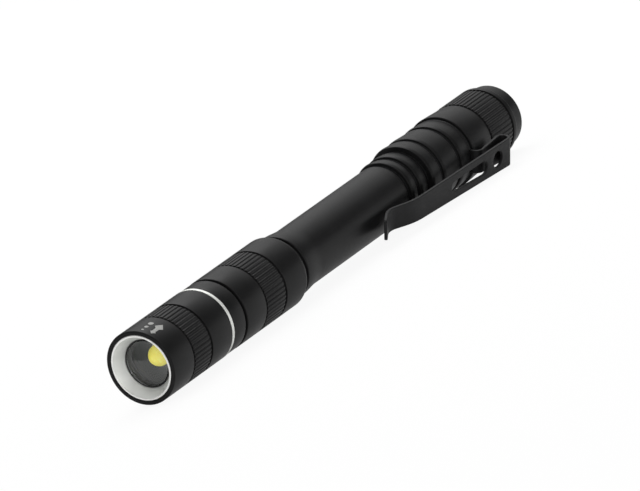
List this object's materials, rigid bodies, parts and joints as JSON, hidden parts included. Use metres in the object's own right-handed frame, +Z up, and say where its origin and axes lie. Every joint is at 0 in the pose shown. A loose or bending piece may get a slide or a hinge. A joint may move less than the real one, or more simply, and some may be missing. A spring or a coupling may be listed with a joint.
{
  "type": "flashlight",
  "caption": "Slim pocket flashlight with a sliding focus head, fluted grips, a push-button tail cap and a spring pocket clip.",
  "frame": {"origin": "middle of the bounding box in plan, at the surface that the light lies on", "axes": "+X along the barrel towards the tail, the beam leaves along -X; +Z up; the clip is on the -Y side, rolled down until its edge rests on the surface"},
  "size_m": [0.1502, 0.0212, 0.0169],
  "materials": {
    "anodised_black": "black anodised, fine bead-blasted satin",
    "bare_aluminium": "bare, fine turned",
    "black_steel": "black coated spring steel, satin",
    "spring_steel": "bright drawn wire",
    "brass": "machined",
    "black_rubber": "matte",
    "black_plastic": "moulded, matte",
    "white_ceramic": "unglazed white ceramic",
    "board_laminate": "laminate under a black solder mask",
    "yellow_phosphor": "yellow phosphor under clear silicone",
    "cell_wrap": "plain coloured sleeve on a metal can",
    "clear_lens": "clear moulded lens, polished"
  },
  "bodies": {
    "barrel": {"front_body": "anodised_black", "stop_ring": "spring_steel", "focus_seal": "black_rubber", "led_dome": "yellow_phosphor", "led_base": "white_ceramic", "led_board": "board_laminate", "led_pill": "bare_aluminium", "driver_board": "board_laminate", "driver_coil": "black_plastic", "front_spring": "spring_steel", "battery_tube": "anodised_black", "tube_seal": "black_rubber", "front_cell": "cell_wrap", "rear_cell": "cell_wrap", "clip_base": "black_steel"},
    "head": {"head_sleeve": "anodised_black", "bezel_ring": "bare_aluminium", "lens_seal": "black_rubber", "lens": "clear_lens", "bright_ring": "bare_aluminium", "head_collar": "anodised_black"},
    "cap_carrier": {"tail_seal": "black_rubber"},
    "cap": {"tail_cap": "anodised_black", "tail_spring": "spring_steel", "switch_retainer": "brass", "switch_body": "black_plastic", "switch_spring": "spring_steel"},
    "button": {"tail_button": "black_rubber", "switch_plunger": "black_plastic"},
    "clip": {"clip_arm": "black_steel"}
  },
  "joints": [
    {"name": "head_zoom", "type": "slide", "parent": "barrel", "child": "head", "axis": [-1, 0, 0], "range_m": [0, 0.006]},
    {"name": "cap_travel", "type": "slide", "parent": "barrel", "child": "cap_carrier", "axis": [1, 0, 0], "range_m": [0, 0.006]},
    {"name": "cap_turn", "type": "hinge", "parent": "cap_carrier", "child": "cap", "pos_m": [0.05135, 0.00218, 0.00845], "axis": [1, 0, 0], "range_deg": [0, 2160]},
    {"name": "button_press", "type": "slide", "parent": "cap", "child": "button", "axis": [-1, 0, 0], "range_m": [0, 0.0015], "stiffness_N_per_m": 2500, "deforming": ["switch_spring"]},
    {"name": "clip_flex", "type": "hinge", "parent": "barrel", "child": "clip", "pos_m": [0.0582, -0.00646, 0.00425], "axis": [0, -0.4369, 0.8995], "range_deg": [0, 4], "stiffness_Nm_per_rad": 4}
  ],
  "couplings": [
    {"joint": "cap_travel", "follows": "cap_turn", "m_per_rad": 0.00015915}
  ]
}
